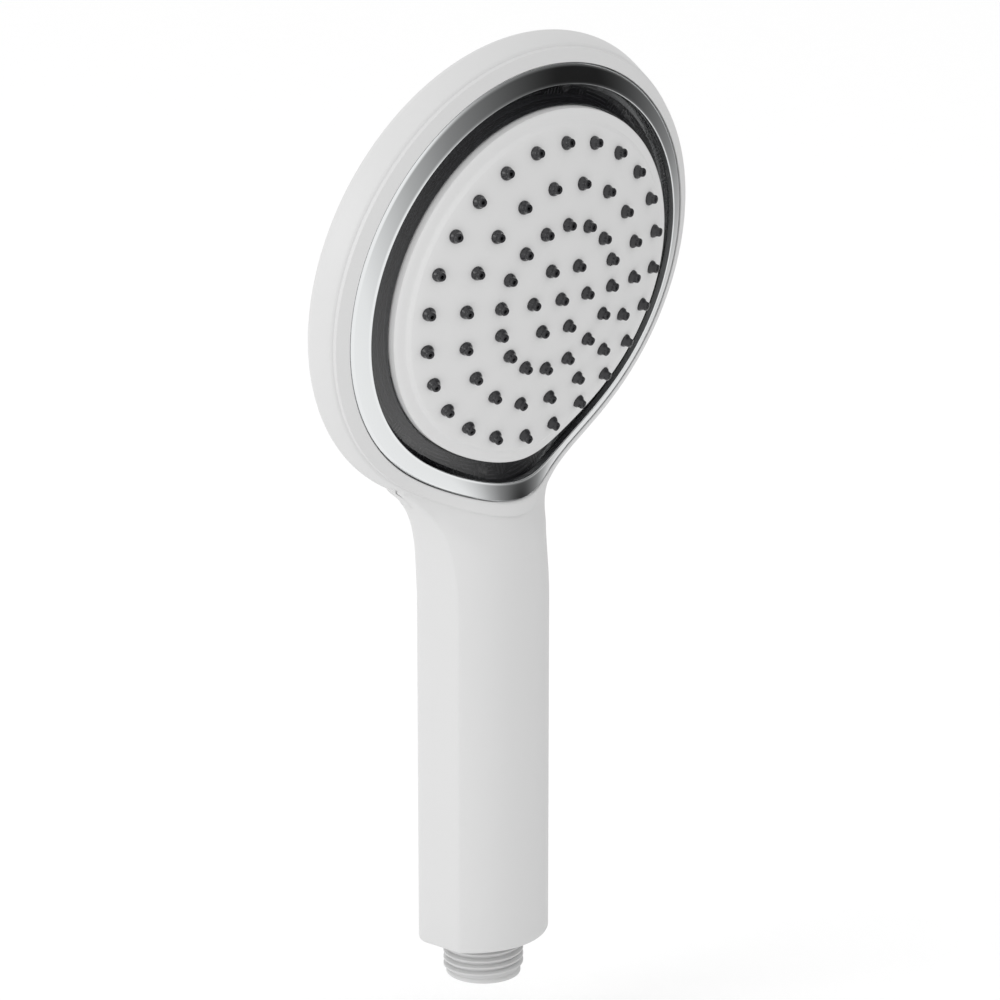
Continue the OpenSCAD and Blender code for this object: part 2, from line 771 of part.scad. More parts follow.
module tube_seals() {
    color(rubber) {
        translate([0, 0, tube_start + 4]) o_ring(tube_r + seal_t, seal_t);
        on_head() translate([0, -pipe_end + seal_in, -pipe_d]) rotate([90, 0, 0])
            o_ring(tube_r + seal_t, seal_t);
    }
}

turns = floor((stub_l - 1.6) / thread_pitch);
module inlet_connector() {
    land = 0.3;
    tip = thread_d / 2 - 0.7;
    crest = thread_d / 2;
    root = crest - thread_depth;
    top = handle_z + plug_l;
    first = 1;
    color(white) difference() {
        union() {
            rotate_extrude() polygon(concat(
                [[0, 0], [tip - 0.4, 0], [tip, 0.4], [tip, first - 0.3]],
                [for (i = [0:turns - 1]) let (z = first + i * thread_pitch) each [
                    [crest, z], [crest, z + land],
                    [root, z + thread_pitch / 2], [root, z + thread_pitch / 2 + land]]],
                [[crest, first + turns * thread_pitch], [crest, handle_z], [0, handle_z]]
            ));
            translate([0, 0, handle_z]) cylinder(r = plug_r, h = plug_l);
            translate([0, 0, handle_z - 1]) cylinder(r = root, h = 2);
        }
        translate([0, 0, -1]) cylinder(r = stub_bore / 2, h = stub_bore_l + 1);
        translate([0, 0, stub_bore_l - eps]) cylinder(r = stub_bore / 2 - 0.9, h = 4.5);
        cylinder(r = tube_in, h = top);
        translate([0, 0, tube_start - 0.2]) cylinder(r = tube_r + slide_gap, h = top);
        translate([0, 0, tube_start + 4 - seal_t]) cylinder(r = tube_r + 2 * seal_t, h = 2 * seal_t);
        translate([0, 0, handle_z + 4]) difference() {
            cylinder(r = plug_r + 1, h = 2);
            translate([0, 0, -1]) cylinder(r = plug_r - 1.4, h = 4);
        }
    }
}

module connector_seal() {
    color(rubber) translate([0, 0, handle_z + 4.05]) difference() {
        cylinder(r = handle_bore / 2, h = 1.9);
        translate([0, 0, -1]) cylinder(r = plug_r - 1.35, h = 4);
    }
}

screen_r = stub_bore / 2 - 1;
module inlet_screen() {
    color(steel) translate([0, 0, stub_bore_l]) difference() {
        cylinder(r = screen_r, h = 0.9);
        for (x = [-4:4]) for (y = [-4:4]) if (norm([x, y]) < 4.2)
            translate([x * 1.4 - 0.45, y * 1.4 - 0.45, -1]) cube([0.9, 0.9, 3]);
    }
}

module flow_regulator() {
    color("seagreen") translate([0, 0, stub_bore_l + 1.2]) difference() {
        cylinder(r = screen_r, h = 2.6);
        translate([0, 0, -1]) cylinder(r = 1.6, h = 5);
        for (i = [0:5]) rotate(i * 60) translate([4.2, 0, -1]) cylinder(r = 0.7, h = 5);
    }
}

// ---- fasteners ----

module face_screws() {
    color(steel) on_head() around(screw_count, screw_r, screw_phase)
        translate([0, 0, -flange_d]) screw(flange_t + screw_grip);
}

module turbine_screws() {
    color(steel) on_head() around(4, lug_r, 45)
        translate([0, 0, -disc_rear - cup_flange_t]) rotate([180, 0, 0]) screw(cup_flange_t + 3.4, 3.4, 1.8);
}

module board_screws() {
    color(steel) on_head() for (x = [-pillar_x, pillar_x])
        translate([x, pillar_y, -driver_d - 1]) rotate([180, 0, 0]) screw(5, 3, 1.6);
}

housing();
chrome_ring();
lens_ring();
lens_seal();
spray_plate();
nozzle_mat();
distributor();
rim_seal();
led_board();
leds();
led_resistors();
turbine_case();
turbine_seal();
jet_ring();
axle();
impeller();
rotor_magnet();
rotor_bushes();
stator_core();
stator_coil();
driver_board();
driver_chips();
capacitor();
coil_wires();
led_wires();
temp_probe();
probe_wires();
water_tube();
tube_seals();
inlet_connector();
connector_seal();
inlet_screen();
flow_regulator();
face_screws();
turbine_screws();
board_screws();
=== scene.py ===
import json
import math
import bpy
import numpy as np
from mathutils import Matrix, Vector


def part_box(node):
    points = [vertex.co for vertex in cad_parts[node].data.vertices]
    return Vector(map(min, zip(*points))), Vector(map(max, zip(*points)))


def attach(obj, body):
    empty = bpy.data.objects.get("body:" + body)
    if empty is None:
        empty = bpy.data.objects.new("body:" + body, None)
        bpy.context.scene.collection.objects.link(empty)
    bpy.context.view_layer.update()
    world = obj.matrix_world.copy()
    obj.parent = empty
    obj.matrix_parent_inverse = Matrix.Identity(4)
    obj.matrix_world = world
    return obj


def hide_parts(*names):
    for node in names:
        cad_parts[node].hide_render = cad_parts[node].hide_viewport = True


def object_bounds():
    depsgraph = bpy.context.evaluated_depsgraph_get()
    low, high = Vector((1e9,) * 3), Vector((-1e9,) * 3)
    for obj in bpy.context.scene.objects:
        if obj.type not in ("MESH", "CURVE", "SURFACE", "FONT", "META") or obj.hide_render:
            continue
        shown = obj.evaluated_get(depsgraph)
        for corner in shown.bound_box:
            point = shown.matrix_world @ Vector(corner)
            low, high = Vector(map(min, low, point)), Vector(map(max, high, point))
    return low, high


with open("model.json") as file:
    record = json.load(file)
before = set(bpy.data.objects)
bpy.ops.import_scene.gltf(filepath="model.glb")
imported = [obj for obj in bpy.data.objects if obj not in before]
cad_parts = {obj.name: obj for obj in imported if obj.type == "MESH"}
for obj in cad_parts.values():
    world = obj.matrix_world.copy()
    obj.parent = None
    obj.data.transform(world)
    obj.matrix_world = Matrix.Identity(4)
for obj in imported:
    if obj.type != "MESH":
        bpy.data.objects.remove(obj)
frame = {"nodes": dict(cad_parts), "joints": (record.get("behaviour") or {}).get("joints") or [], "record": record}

cadLow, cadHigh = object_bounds()
mm = 0.001
print("frame loaded:", len(frame["nodes"]), "nodes")

# the head's own axes, taken from the turbine's joint
spin = frame["joints"][0]
outward = Vector(spin["axis"]).normalized()
across = Vector((1, 0, 0))
upward = outward.cross(across).normalized()
plateTips = np.array([v.co for v in frame["nodes"]["spray_plate"].data.vertices])
axisPoint = Vector(spin["pos_m"])
crownReach = max((plateTips - np.array(axisPoint)) @ np.array(outward))
crown = axisPoint + outward * crownReach


def headPoint(radius, depth, angle):
    # a point of the head: radius from its axis, depth behind the crown, angle in degrees
    a = math.radians(angle)
    return crown - outward * depth + (across * math.cos(a) + upward * math.sin(a)) * radius


# camera: three-quarter view from the left, a little above
cameraSet = {
    "azimuth": -44.3,
    "elevation": 15.5,
    "distance": 1.0185,
    "lens": 144,
    "aimLift": 0.0032,  # the aim point above the middle of the object
}


def makeCamera():
    a, e = math.radians(cameraSet["azimuth"]), math.radians(cameraSet["elevation"])
    back = Vector((math.sin(a) * math.cos(e), -math.cos(a) * math.cos(e), math.sin(e)))
    aim = Vector((0.003, -0.0032, (cadLow.z + cadHigh.z) / 2 + cameraSet["aimLift"]))
    bpy.ops.object.camera_add(location=aim + back * cameraSet["distance"])
    camera = bpy.context.object
    camera.rotation_mode = "QUATERNION"
    camera.rotation_quaternion = (-back).to_track_quat("-Z", "Y")
    camera.data.lens = cameraSet["lens"]
    camera.data.clip_start, camera.data.clip_end = 0.05, 60
    bpy.context.scene.camera = camera


makeCamera()
print("camera placed")


# shader maths
class Link:
    # wraps a node's socket so that materials read as expressions
    def __init__(self, tree, socket):
        self.tree, self.socket = tree, socket

    def math(self, operation, other=None, swap=False, clamp=False):
        values = [self, other] if other is not None else [self]
        if swap:
            values.reverse()
        return addNode(self.tree, "ShaderNodeMath", {"operation": operation, "use_clamp": clamp},
                       dict(enumerate(values)))

    def __add__(self, other):
        return self.math("ADD", other)

    def __radd__(self, other):
        return self.math("ADD", other, True)

    def __sub__(self, other):
        return self.math("SUBTRACT", other)

    def __rsub__(self, other):
        return self.math("SUBTRACT", other, True)

    def __mul__(self, other):
        return self.math("MULTIPLY", other)

    def __rmul__(self, other):
        return self.math("MULTIPLY", other, True)

    def __pow__(self, other):
        return self.math("POWER", other)

    def __gt__(self, other):
        return self.math("GREATER_THAN", other)

    def __lt__(self, other):
        return self.math("LESS_THAN", other)

    def clamp(self):
        return self.math("ADD", 0, clamp=True)


def addNode(tree, kind, settings=None, inputs=None, output=0):
    # one node: its settings first, then values or links for its sockets
    node = tree.nodes.new(kind)
    for key, value in (settings or {}).items():
        if key == "stops":
            ramp = node.color_ramp
            while len(ramp.elements) < len(value):
                ramp.elements.new(1.0)
            for element, (place, colour) in zip(ramp.elements, value):
                element.position = place
                element.color = colour if hasattr(colour, "__len__") else (colour, colour, colour, 1)
        else:
            setattr(node, key, value)
    for key, value in (inputs or {}).items():
        if isinstance(value, Link):
            tree.links.new(value.socket, node.inputs[key])
        else:
            node.inputs[key].default_value = value
    return Link(tree, node.outputs[output])


def newMaterial(name, sockets):
    # a Principled material; sockets hold plain values that are the same all over
    material = bpy.data.materials.new(name)
    material.use_nodes = True
    shader = material.node_tree.nodes["Principled BSDF"]
    for key, value in sockets.items():
        shader.inputs[key].default_value = value
    return material, material.node_tree, shader


def feed(tree, shader, **links):
    for key, value in links.items():
        tree.links.new(value.socket, shader.inputs[key.replace("_", " ")])


def objectPlace(tree):
    return addNode(tree, "ShaderNodeTexCoord", output="Object")


def noise(tree, place, scale, detail=3, roughness=0.5, output=0):
    return addNode(tree, "ShaderNodeTexNoise", {}, {"Vector": place, "Scale": scale, "Detail": detail,
                                                   "Roughness": roughness}, output)


def mixColour(tree, factor, first, second):
    return addNode(tree, "ShaderNodeMix", {"data_type": "RGBA"}, {0: factor, 6: first, 7: second}, 2)


def bump(tree, height, strength, distance):
    return addNode(tree, "ShaderNodeBump", {}, {"Height": height, "Strength": strength, "Distance": distance})


def grey(value, alpha=1):
    return (value, value, value, alpha)


def plasticMaterial(name, colour, shade, roughness, grain=900, specular=0.5, coat=0.0):
    # moulded plastic: faint flow marks in the tone, fine grain in the gloss and the surface
    material, tree, shader = newMaterial(name, {"Specular IOR Level": specular, "Coat Weight": coat,
                                                "Coat Roughness": 0.08})
    place = objectPlace(tree)
    flow = noise(tree, place, 22, 4, 0.55)
    fine = noise(tree, place, grain, 2, 0.6)
    tone = mixColour(tree, flow, colour, shade)
    gloss = roughness - 0.05 + flow * 0.06 + fine * 0.04
    feed(tree, shader, Base_Color=tone, Roughness=gloss, Normal=bump(tree, fine, 0.06, 0.00006))
    return material


def metalMaterial(name, colour, shade, roughness, grain=400):
    # metal: faint cloudiness and fine marks
    material, tree, shader = newMaterial(name, {"Metallic": 1.0})
    place = objectPlace(tree)
    cloud = noise(tree, place, 35, 4, 0.6)
    marks = noise(tree, place, grain, 3, 0.7)
    feed(tree, shader, Base_Color=mixColour(tree, cloud, colour, shade),
         Roughness=roughness + marks * roughness * 0.5, Normal=bump(tree, marks, 0.03, 0.00003))
    return material


def rubberMaterial(name, colour, roughness, coat):
    # silicone: smooth skin with a faint orange peel
    material, tree, shader = newMaterial(name, {"Specular IOR Level": 0.3, "Coat Weight": coat,
                                                "Coat Roughness": 0.06, "Coat IOR": 1.5})
    place = objectPlace(tree)
    cloud = noise(tree, place, 60, 3, 0.5)
    skin = noise(tree, place, 1400, 2, 0.5)
    lighter = tuple(min(1, c * 1.5 + 0.01) for c in colour[:3]) + (1,)
    feed(tree, shader, Base_Color=mixColour(tree, cloud, colour, lighter),
         Roughness=roughness + cloud * 0.08, Normal=bump(tree, skin, 0.08, 0.00004))
    return material


def vectorMath(tree, operation, first, second, output=0):
    return addNode(tree, "ShaderNodeVectorMath", {"operation": operation}, {0: first, 1: second}, output)


def ringPlace(tree):
    # millimetres round the lit ring, and out from the head's axis
    local = vectorMath(tree, "SUBTRACT", objectPlace(tree), tuple(crown))
    x = vectorMath(tree, "DOT_PRODUCT", local, tuple(across), 1) * 1000
    y = vectorMath(tree, "DOT_PRODUCT", local, tuple(upward), 1) * 1000
    radius = (x * x + y * y) ** 0.5
    angle = y.math("ARCTAN2", x)
    return addNode(tree, "ShaderNodeCombineXYZ", {}, {0: angle * 49.5, 1: radius, 2: 0.0})


def boardMaterial():
    # dark solder mask with fine radial and ring tracks and pale pads
    material, tree, shader = newMaterial("circuitBoard", {"Specular IOR Level": 0.5})
    place = ringPlace(tree)
    lanes = addNode(tree, "ShaderNodeTexWave", {"bands_direction": "Y", "wave_profile": "SIN"},
                    {"Vector": place, "Scale": 0.36, "Distortion": 0.0})
    combs = addNode(tree, "ShaderNodeTexWave", {"bands_direction": "X", "wave_profile": "SIN"},
                    {"Vector": place, "Scale": 0.27, "Distortion": 0.0})
    patch = noise(tree, place, 0.16, 0)
    lane = (lanes > 0.72) * (patch > 0.52)
    comb = (combs > 0.6) * (patch < 0.42)
    copper = (lane + comb).clamp()
    wear = noise(tree, place, 0.9, 3)
    tone = mixColour(tree, copper, (0.018, 0.02, 0.021, 1), (0.34, 0.345, 0.35, 1))
    tone = mixColour(tree, wear * 0.35, tone, (0.05, 0.055, 0.055, 1))
    feed(tree, shader, Base_Color=tone, Roughness=0.42 - copper * 0.12 + wear * 0.08,
         Normal=bump(tree, copper, 0.25, 0.00004))
    return material


def lensMaterial():
    # smoked see-through plastic: dark, glossy, with a faint unevenness
    material, tree, shader = newMaterial("smokedLens", {"Specular IOR Level": 0.7, "IOR": 1.62, "Coat Weight": 1.0,
                                                       "Coat IOR": 1.6, "Coat Roughness": 0.02})
    place = objectPlace(tree)
    cloud = noise(tree, place, 30, 3, 0.5)
    feed(tree, shader, Base_Color=mixColour(tree, cloud, (0.006, 0.006, 0.0075, 1), (0.012, 0.012, 0.014, 1)),
         Roughness=0.05 + cloud * 0.05, Alpha=0.5 + cloud * 0.1)
    return material


def ledMaterial():
    # clear epoxy dome over a pale chip
    material, tree, shader = newMaterial("ledDome", {"Specular IOR Level": 0.9, "Coat Weight": 1.0,
                                                    "Coat Roughness": 0.02})
    place = objectPlace(tree)
    cell = addNode(tree, "ShaderNodeTexVoronoi", {"feature": "F1"}, {"Vector": place, "Scale": 900})
    tone = mixColour(tree, cell, (0.75, 0.76, 0.74, 1), (0.06, 0.06, 0.055, 1))
    feed(tree, shader, Base_Color=tone, Roughness=0.12 + cell * 0.1)
    return material


materials = {
    "white_shell": plasticMaterial("whiteShell", grey(0.63), grey(0.617), 0.42, 1100, 0.25),
    "white_plate": plasticMaterial("whitePlate", grey(0.66), grey(0.647), 0.36, 1300, 0.3),
    "white_thread": plasticMaterial("whiteThread", grey(0.56), grey(0.54), 0.4, 900, 0.4),
    "inner_plastic": plasticMaterial("innerPlastic", (0.3, 0.32, 0.34, 1), (0.26, 0.28, 0.3, 1), 0.55),
    "acetal": plasticMaterial("acetal", (0.72, 0.7, 0.64, 1), (0.66, 0.64, 0.58, 1), 0.4),
    "acetal_green": plasticMaterial("acetalGreen", (0.06, 0.3, 0.15, 1), (0.05, 0.24, 0.12, 1), 0.4),
    "chip_black": plasticMaterial("chipBlack", grey(0.02), grey(0.03), 0.5, 700),
    "wire_red": plasticMaterial("wireRed", (0.45, 0.02, 0.02, 1), (0.35, 0.015, 0.015, 1), 0.35),
    "wire_black": plasticMaterial("wireBlack", grey(0.015), grey(0.025), 0.35),
    "resin": plasticMaterial("resin", (0.4, 0.26, 0.09, 1), (0.32, 0.2, 0.07, 1), 0.2, coat=0.6),
    "bright_trim": metalMaterial("brightTrim", (0.83, 0.845, 0.85, 1), (0.80, 0.815, 0.82, 1), 0.035, 260),
    "steel": metalMaterial("steel", (0.6, 0.61, 0.63, 1), (0.5, 0.51, 0.53, 1), 0.25),
    "ferrite": metalMaterial("ferrite", (0.07, 0.07, 0.075, 1), (0.05, 0.05, 0.055, 1), 0.5),
    "bronze": metalMaterial("bronze", (0.6, 0.38, 0.16, 1), (0.5, 0.3, 0.12, 1), 0.35),
    "copper": metalMaterial("copper", (0.72, 0.34, 0.16, 1), (0.55, 0.24, 0.1, 1), 0.28),
    "can": metalMaterial("can", (0.3, 0.31, 0.35, 1), (0.22, 0.23, 0.27, 1), 0.3),
    "silicone": rubberMaterial("silicone", grey(0.03), 0.5, 0.1),
    "nozzle_rubber": rubberMaterial("nozzleRubber", (0.014, 0.014, 0.016, 1), 0.18, 0.35),
    "circuit_board": boardMaterial(),
    "smoked_lens": lensMaterial(),
    "led_lens": ledMaterial(),
}
nodeSlot = {row["node"]: row["material_slot"] for row in frame["record"]["subparts"]}
for name, node in frame["nodes"].items():
    node.data.materials.clear()
    node.data.materials.append(materials[nodeSlot[name]])
print("materials made:", len(materials))


# modelling helpers
def startPiece():
    bpy.ops.object.select_all(action="DESELECT")


def edit(piece, select="SELECT"):
    bpy.ops.object.select_all(action="DESELECT")
    bpy.context.view_layer.objects.active = piece
    piece.select_set(True)
    bpy.ops.object.mode_set(mode="EDIT")
    bpy.ops.mesh.select_mode(type="VERT")
    bpy.ops.mesh.select_all(action=select)


def done():
    bpy.ops.object.mode_set(mode="OBJECT")


def pick(piece, test):
    # selects in edit mode the vertices whose place passes the test
    edit(piece, "DESELECT")
    done()
    for vertex in piece.data.vertices:
        vertex.select = test(vertex.co)
    bpy.ops.object.mode_set(mode="EDIT")


def applyModifier(piece, kind, **settings):
    modifier = piece.modifiers.new(kind.title(), kind)
    for key, value in settings.items():
        setattr(modifier, key, value)
    bpy.ops.object.select_all(action="DESELECT")
    bpy.context.view_layer.objects.active = piece
    piece.select_set(True)
    bpy.ops.object.modifier_apply(modifier=modifier.name)


def cleanUp(piece, merge=1e-6):
    edit(piece)
    bpy.ops.mesh.remove_doubles(threshold=merge)
    bpy.ops.mesh.normals_make_consistent(inside=False)
    done()


def turnOutwards(piece, inside):
    # an open skin's faces point away from a place inside it
    score = sum((face.center - inside).dot(face.normal) * face.area for face in piece.data.polygons)
    if score < 0:
        edit(piece)
        bpy.ops.mesh.flip_normals()
        done()


def dress(piece, name, slotName, body="shell", nodes=(), angle=30):
    # names a finished piece, gives it its finish and lets it ride
    bpy.ops.object.select_all(action="DESELECT")
    bpy.context.view_layer.objects.active = piece
    piece.select_set(True)
    bpy.ops.object.transform_apply(location=True, rotation=True, scale=True)
    bpy.ops.object.shade_smooth_by_angle(angle=math.radians(angle))
    piece.name = name
    piece.data.name = name
    piece.data.materials.clear()
    piece.data.materials.append(materials[slotName])
    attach(piece, body)
    if nodes:
        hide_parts(*nodes)
    print("piece:", name, len(piece.data.polygons), "faces")
    return piece


def joinPieces(main, *others):
    bpy.ops.object.select_all(action="DESELECT")
    for piece in others + (main,):
        piece.select_set(True)
    bpy.context.view_layer.objects.active = main
    bpy.ops.object.join()


def spinRing(profile, steps=180):
    # turns a closed outline of (radius, depth) in millimetres round the head's axis
    profile = [(max(r, 1e-4) * mm, d * mm) for r, d in profile]
    startPiece()
    bpy.ops.mesh.primitive_circle_add(vertices=len(profile), radius=mm, fill_type="NOTHING")
    piece = bpy.context.object
    for vertex, (radius, depth) in zip(piece.data.vertices, profile):
        vertex.co = headPoint(radius, depth, 0)
    edit(piece)
    bpy.ops.mesh.spin(steps=steps, angle=2 * math.pi, center=crown, axis=outward)
    done()
    cleanUp(piece)
    raiseFace(piece)
    return piece


def spinUpright(profile, steps=20):
    # turns an open outline of (radius, height) in millimetres round the z axis, ends on the axis
    startPiece()
    bpy.ops.mesh.primitive_circle_add(vertices=len(profile), radius=mm, fill_type="NOTHING")
    piece = bpy.context.object
    for vertex, (radius, height) in zip(piece.data.vertices, profile):
        vertex.co = (max(radius, 1e-4) * mm, 0, height * mm)
    edit(piece)
    bpy.ops.mesh.spin(steps=steps, angle=2 * math.pi, center=(0, 0, 0), axis=(0, 0, 1))
    done()
    cleanUp(piece, 3e-7)
    return piece


def copyTo(model, places):
    # copies of one small piece, each with its own mesh, joined; places are (point, direction)
    for point, direction in places:
        twin = model.copy()
        twin.data = model.data.copy()
        bpy.context.collection.objects.link(twin)
        turn = Vector((0, 0, 1)).rotation_difference(direction).to_matrix().to_4x4()
        twin.data.transform(Matrix.Translation(point) @ turn)
        twin.select_set(True)
        last = twin
    model.select_set(False)
    bpy.context.view_layer.objects.active = last
    bpy.ops.object.join()
    bpy.data.objects.remove(model)
    return bpy.context.object


# white shell: head bowl and handle in one moulding
shellSizes = {  # millimetres
    "faceRadius": 121,    # sphere that the whole face follows
    "bandInner": 56.4,    # inner edge of the white band
    "bandSoft": 0.25,     # bevel of that edge
    "edgeRadius": 60.5,   # outer edge of the face
    "edgeDrop": 1.5,      # how far that edge lies behind the face sphere
    "edgeSoft": 1.5,      # its roundness
    "sideLength": 4.4,
    "rimRadius": 62.0,
    "rimRound": 3.0,
    "headDepth": 41.8,
    "wall": 2.2,
    "gripHalf": 16.2,     # half the grip's width at its front edges
    "gripSpread": 1.3,    # how much wider it is at its rear edges
    "neckSwell": 0.6,     # extra rear width half way up the neck
    "edgeFront": 7.6,     # depth of the front edges ahead of the handle's axis
    "crownFront": 15.6,
    "edgeRear": 5.5,
    "crownRear": 15.2,
    "neckDrop": 3.2,      # how far the front's crown runs back over the neck
    "riseStart": 20,      # distance below the crown where the face begins to rise towards the neck
    "riseHeight": 11.0,
    "riseReach": 36.1,    # distance over which it rises by that height
    "riseWidth": 15.0,
    "neckStart": 102.0,   # height where the front begins to run back
    "neckEnd": 134.5,
    "sweepStart": 105.0,  # height where the sides begin to sweep out
    "sweepEnd": 135.0,
    "sweepWidth": 11.6,
    "landing": 5.0,       # how softly the handle's back runs into the head
    "flankLanding": 0.3,  # the same for its flanks
    "skinSink": 0.12,     # how far the handle sinks into the head's skin
    "seamInset": 1.0,     # from the band's inner edge to the front's upper end
    "seamHalf": 27.5,     # half the front's width there
    "frontLift": 0.03,    # how far the front stands over the band
    "frontTuck": 0.25,    # its last points lie this far under it
    "bandDropShare": 0.6,  # share of the edge's drop that the front follows
    "bandFade": (57.5, 60.5),  # radii between which the band's edge drops away
    "frontReach": (60.0, 69.0),  # radii between which the front stops following the face
    "frontSide": (-3.5, 1.5),  # depths between which front turns into flank
    "flankSide": (-2, 3),  # depths between which the upper ends rise from front to flank
    "backSide": (8, 13),   # depths between which the softer landing sets in
    "rearSide": (7, 15),   # depths between which the upper ends rise on to the back
    "gripReach": 75,      # the farthest radius at which the face sphere is still measured
    "flankEnd": 147,
    "rearRise": 12,
    "bowSteps": 24,       # points along the front's and the rear's curve
    "frontCorner": 0.6,
    "rearCorner": 1.6,
    "boreRadius": 11.65,
    "lowEnd": 1.2,        # how far the handle reaches below its CAD end
    "boreDepth": 5,
    "skin": 1.6,          # wall of the handle
    "levels": 46,         # cross-sections between the straight grip and the head
    "loftStart": 98,
    "joinStart": 100,
    "footRound": [(0, 0.55), (0.35, 0.2), (0.8, 0.0)],  # height above the lower end, and inset
    "gripHeights": [30, 50, 70, 88],
}


def faceDepth(radius, inset=0):
    # depth of the face sphere, or one inside it, at a radius
    r = shellSizes["faceRadius"]
    return r - math.sqrt((r - inset) ** 2 - radius ** 2)


def arcPoints(centre, radius, start, end, count):
    angles = np.radians(np.linspace(start, end, count))
    return [(centre[0] + radius * math.cos(a), centre[1] - radius * math.sin(a)) for a in angles]


def headOutline():
    # outer outline of the head from the band's inner edge round to the back's middle
    s = shellSizes
    edgeDepth = faceDepth(s["edgeRadius"]) + s["edgeDrop"]
    rimDepth = edgeDepth + s["sideLength"]
    lean = math.degrees(math.atan2(s["rimRadius"] - s["edgeRadius"], s["sideLength"]))
    rimMiddle = s["rimRadius"] - s["rimRound"]
    bulge = s["headDepth"] - rimDepth
    backRadius = (rimMiddle ** 2 + bulge ** 2 - s["rimRound"] ** 2) / (2 * (bulge - s["rimRound"]))
    backMiddle = s["headDepth"] - backRadius
    turn = math.degrees(math.asin((rimDepth - backMiddle) / (backRadius - s["rimRound"])))
    softMiddle = (s["edgeRadius"] - s["edgeSoft"] * math.cos(math.radians(lean)),
                  edgeDepth + s["edgeSoft"] * 0.1)
    points = [(r, faceDepth(r)) for r in np.linspace(s["bandInner"] + s["bandSoft"], softMiddle[0] + 0.5, 6)]
    points += arcPoints(softMiddle, s["edgeSoft"], 62, lean, 9)
    points += arcPoints((rimMiddle, rimDepth), s["rimRound"], 0, -turn, 9)
    points += arcPoints((0, backMiddle), backRadius, -turn - 1.5, -90, 40)
    return points, backMiddle, backRadius


outline, backMiddle, backRadius = headOutline()
outlineFine = []
for first, second in zip([(0.0, 0.0)] + outline[:-1], outline):
    for part in np.linspace(0, 1, 12, endpoint=False):
        outlineFine.append([a + (b - a) * part for a, b in zip(first, second)])
outlineFine = np.array(outlineFine)


def headSide(points):
    # signed gap from points to the head's outer skin, and the outward direction there
    x, y, depth = splitPoints(points)
    radius = np.hypot(x, y)
    flat = np.stack([radius, depth], 1)
    delta = flat[:, None, :] - outlineFine[None, :, :]
    nearest = (delta ** 2).sum(2).argmin(1)
    to = outlineFine[nearest]
    tangent = np.gradient(outlineFine, axis=0)[nearest]
    normal = np.stack([tangent[:, 1], -tangent[:, 0]], 1)
    normal /= np.linalg.norm(normal, axis=1)[:, None] + 1e-12
    gap = ((flat - to) * normal).sum(1)
    radial = (np.array(across)[None] * x[:, None] + np.array(upward)[None] * y[:, None]) / radius[:, None]
    return gap, radial * normal[:, :1] - np.array(outward)[None] * normal[:, 1:]


def bowPoints(half, edge, crownHeight, count):
    # shallow arc from (-half, edge) over (0, crownHeight) to (half, edge)
    rise = crownHeight - edge
    radius = (half * half + rise * rise) / (2 * rise)
    spread = math.asin(min(1, half / radius))
    return [(radius * math.sin(a), crownHeight - radius + radius * math.cos(a))
            for a in np.linspace(-spread, spread, count + 1)]


def roundCorner(before, corner, after, size, count=4):
    # softens a corner of a section with a short curve
    first = corner + (before - corner).normalized() * size
    last = corner + (after - corner).normalized() * size
    return [first * (1 - t) ** 2 + corner * 2 * t * (1 - t) + last * t * t
            for t in np.linspace(0, 1, count + 1)]


def faceRise(x, u):
    # how far the face stands forward of its sphere where it runs into the neck
    s = shellSizes
    run = np.maximum(0, (-u - s["riseStart"]) / s["riseReach"])
    return s["riseHeight"] * run ** 2.8 * np.exp(-x ** 2 / (2 * s["riseWidth"] ** 2))


def splitPoints(points):
    # a point's place across the head, up the head and behind the crown, in millimetres
    rel = np.asarray(points) / mm - np.array(crown) / mm
    return rel @ np.array(across), rel @ np.array(upward), -(rel @ np.array(outward))


def raiseFace(piece, fadeFrom=18.5, fadeTo=24):
    # moves a round piece's lower part forward with the face; deep parts stay where they are
    points = np.array([v.co for v in piece.data.vertices])
    x, u, depth = splitPoints(points)
    rise = faceRise(x, u) * (1 - softStep(depth, fadeFrom, fadeTo))
    points += np.array(outward)[None] * (rise * mm)[:, None]
    piece.data.vertices.foreach_set("co", points.ravel())
    piece.data.update()


def gripSection(height):
    # one closed cross-section of the handle, as (x, y) in millimetres with the face towards -y
    s = shellSizes
    run = min(1, max(0, (height - s["neckStart"]) / (s["neckEnd"] - s["neckStart"])))
    out = min(1.0, max(0, (height - s["sweepStart"]) / (s["sweepEnd"] - s["sweepStart"])))
    half = s["gripHalf"] + s["sweepWidth"] * out ** 4
    swell = s["gripSpread"] + s["neckSwell"] * math.sin(math.pi * out)
    halfRear = half + swell * (1 - out ** 6)
    edge = s["edgeFront"] * (1 - run ** 2)
    front = s["crownFront"] - s["neckDrop"] * run ** 1.8
    frontBow = [Vector((x, -y)) for x, y in bowPoints(half, edge, front, s["bowSteps"])]
    rearBow = [Vector((-x, y)) for x, y in bowPoints(halfRear, s["edgeRear"], s["crownRear"], s["bowSteps"])]
    points = []
    for bow, other, size in ((frontBow, rearBow, s["frontCorner"]), (rearBow, frontBow, s["rearCorner"])):
        points += roundCorner(other[-1], bow[0], bow[1], size)
        points += bow[1:-1]
        points += roundCorner(bow[-2], bow[-1], other[0], size)
        points += [bow[-1].lerp(other[0], k / 10) for k in range(2, 9)]
    return points


def softStep(value, start, end):
    t = np.clip((value - start) / (end - start), 0, 1)
    return t * t * (3 - 2 * t)


